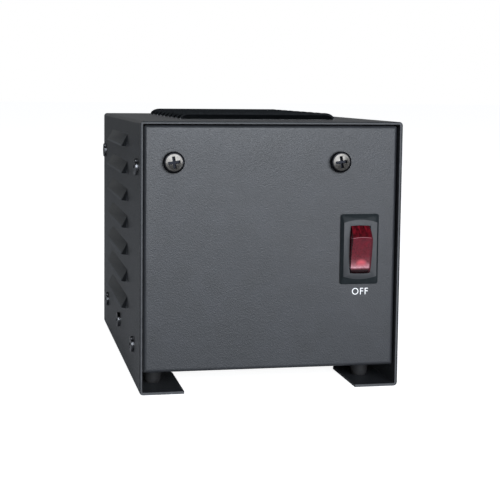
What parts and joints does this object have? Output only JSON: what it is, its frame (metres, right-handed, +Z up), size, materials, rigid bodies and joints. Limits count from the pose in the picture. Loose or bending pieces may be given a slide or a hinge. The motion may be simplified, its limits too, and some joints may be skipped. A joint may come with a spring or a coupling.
{
  "type": "isolation transformer",
  "caption": "Small isolation transformer: a louvred grey sheet-steel case on foot tabs, with a lit red rocker switch, rear sockets, breaker button and a full core and coil.",
  "frame": {"origin": "on the floor, under the middle of the bounding box, which runs from the rocker to the reset button", "axes": "+X to the right seen from the front, +Y from the front panel to the back, +Z up"},
  "size_m": [0.1282, 0.1824, 0.1269],
  "materials": {
    "case_paint": "dark grey powder coat, fine texture, semi-gloss",
    "bumper_rubber": "black moulded rubber",
    "black_nickel": "black nickel plate",
    "lamination_steel": "varnished silicon steel laminations",
    "zinc_steel": "zinc plate",
    "bracket_steel": "zinc-plated sheet steel",
    "bobbin_nylon": "green glass-filled nylon",
    "enamelled_copper": "enamelled copper wire",
    "copper_foil": "bare copper foil",
    "coil_paper": "varnished paper and cloth tape",
    "switch_black": "black moulded nylon",
    "rocker_red": "see-through red plastic",
    "lamp_glass": "neon lamp glass",
    "contact_brass": "bright brass",
    "breaker_phenolic": "black moulded phenolic",
    "nickel_nut": "nickel plate",
    "button_white": "off-white moulded plastic",
    "socket_face": "black moulded nylon",
    "socket_body": "dark grey thermoset",
    "gland_nylon": "black nylon",
    "board_laminate": "green epoxy-glass laminate",
    "standoff_nylon": "natural nylon",
    "absorber_epoxy": "blue epoxy coating",
    "capacitor_case": "yellow polyester case",
    "terminal_plastic": "green moulded nylon"
  },
  "bodies": {
    "case": {"wrap_cover": "case_paint", "chassis_tray": "case_paint", "rear_panel": "case_paint", "tray_bumpers": "bumper_rubber", "side_screws": "black_nickel", "front_screws": "black_nickel", "rear_panel_screws": "black_nickel", "core_e_stack": "lamination_steel", "core_i_stack": "lamination_steel", "core_bolts": "zinc_steel", "core_nuts": "zinc_steel", "core_foot_front": "bracket_steel", "core_foot_rear": "bracket_steel", "core_clamp_bar": "bracket_steel", "core_foot_screws": "black_nickel", "core_foot_nuts": "zinc_steel", "tie_bracket": "bracket_steel", "tie_nuts": "zinc_steel", "bobbin": "bobbin_nylon", "primary_winding": "enamelled_copper", "shield_foil": "copper_foil", "secondary_winding": "enamelled_copper", "coil_wrap": "coil_paper", "switch_housing": "switch_black", "switch_lamp": "lamp_glass", "switch_terminals": "contact_brass", "breaker_body": "breaker_phenolic", "breaker_nut": "nickel_nut", "breaker_terminals": "contact_brass", "outlet_faces": "socket_face", "outlet_strap": "zinc_steel", "outlet_body": "socket_body", "outlet_contacts": "contact_brass", "outlet_screws": "black_nickel", "cord_gland": "gland_nylon", "gland_nut": "gland_nylon", "ground_screw": "zinc_steel", "ground_lug": "contact_brass", "ground_nut": "zinc_steel", "filter_board": "board_laminate", "board_standoffs": "standoff_nylon", "board_screws": "zinc_steel", "surge_absorbers": "absorber_epoxy", "filter_capacitor": "capacitor_case", "terminal_block": "terminal_plastic"},
    "rocker": {"switch_rocker": "rocker_red"},
    "button": {"reset_button": "button_white"}
  },
  "joints": [
    {"name": "rocker_tilt", "type": "hinge", "parent": "case", "child": "rocker", "pos_m": [0.0414, -0.07874, 0.0648], "axis": [-1, 0, 0], "range_deg": [0, 24]},
    {"name": "reset_slide", "type": "slide", "parent": "case", "child": "button", "axis": [0, 1, 0], "range_m": [0, 0.0036]}
  ]
}
